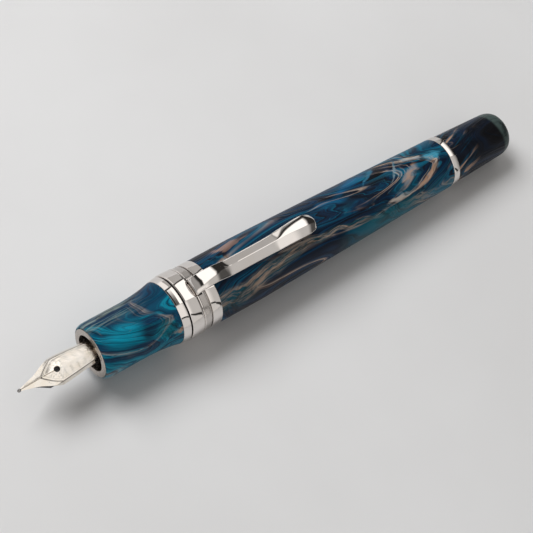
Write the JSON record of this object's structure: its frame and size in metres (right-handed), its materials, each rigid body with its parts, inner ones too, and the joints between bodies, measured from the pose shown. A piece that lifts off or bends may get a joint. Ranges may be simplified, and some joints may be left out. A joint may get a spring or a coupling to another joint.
{
  "type": "fountain pen",
  "caption": "Capless fountain pen in marbled resin with a polished nib, waisted grip, stepped metal bands, pocket clip and a tail knob that twists to draw the nib in.",
  "frame": {"origin": "the writing point, at the very front of the nib's tipping ball, with the nib out", "axes": "+X from the writing point along the pen towards the knob, +Z towards the clip's side, +Y completes a right-handed frame; the pen's own axis runs along +X, 1.15 mm below the origin"},
  "size_m": [0.1348, 0.0156, 0.0179],
  "materials": {
    "resin_grip": "gloss marbled teal resin",
    "resin_barrel": "gloss marbled navy, teal and tan resin",
    "resin_knob": "gloss near-black marbled resin",
    "polished_trim": "polished plate",
    "nib_steel": "polished nib sheet, engraved",
    "tipping": "ground hard tipping",
    "feed_plastic": "matte black",
    "brass": "turned",
    "mechanism_steel": "ground",
    "bearing_plastic": "natural acetal",
    "seal_rubber": "matte black",
    "cartridge_plastic": "blue polyethylene with ink"
  },
  "bodies": {
    "barrel": {"barrel": "resin_barrel", "barrel_bush": "brass", "barrel_front_ring": "polished_trim", "spacer_ring": "polished_trim", "clip_ring": "polished_trim", "main_band": "polished_trim", "guide_tube": "brass", "rear_trim_ring": "polished_trim", "knob_bush": "bearing_plastic"},
    "clip": {"clip": "polished_trim"},
    "knob": {"knob": "resin_knob", "knob_core": "mechanism_steel", "cam_tube": "mechanism_steel", "thrust_washer": "bearing_plastic", "twist_o_ring": "seal_rubber"},
    "nib_unit": {"nib": "nib_steel", "nib_point": "tipping", "feed": "feed_plastic", "nib_collar": "feed_plastic", "carrier_tube": "brass", "ink_cartridge": "cartridge_plastic", "cartridge_spring": "mechanism_steel", "carrier_plug": "brass", "cam_pin": "mechanism_steel"},
    "seal": {"section_seal_ring": "seal_rubber"},
    "section": {"grip_section": "resin_grip", "section_liner": "brass", "nose_ring": "polished_trim", "section_front_band": "polished_trim", "shutter_seal": "seal_rubber", "door_pin": "mechanism_steel", "door_spring": "mechanism_steel"},
    "door": {"shutter_door": "mechanism_steel"}
  },
  "joints": [
    {"name": "knob_twist", "type": "hinge", "parent": "barrel", "child": "knob", "pos_m": [0.1168, 0, -0.00115], "axis": [1, 0, 0], "range_deg": [-210, 0]},
    {"name": "nib_slide", "type": "slide", "parent": "barrel", "child": "nib_unit", "axis": [1, 0, 0], "range_m": [0, 0.023]},
    {"name": "clip_flex", "type": "hinge", "parent": "barrel", "child": "clip", "pos_m": [0.0422, 0, 0.00605], "axis": [0, -1, 0], "range_deg": [0, 4], "stiffness_Nm_per_rad": 0.5},
    {"name": "section_slide", "type": "slide", "parent": "barrel", "child": "seal", "axis": [-1, 0, 0], "range_m": [0, 0.0032]},
    {"name": "section_turn", "type": "hinge", "parent": "seal", "child": "section", "pos_m": [0.0278, 0, -0.00115], "axis": [1, 0, 0], "range_deg": [-1440.01, 0]},
    {"name": "door_swing", "type": "hinge", "parent": "section", "child": "door", "pos_m": [0.0237, 0, -0.00575], "axis": [0, 1, 0], "range_deg": [0, 8.3]}
  ],
  "couplings": [
    {"joint": "nib_slide", "follows": "knob_twist", "m_per_rad": -0.0062753},
    {"joint": "section_turn", "follows": "section_slide", "rad_per_m": -7854}
  ]
}
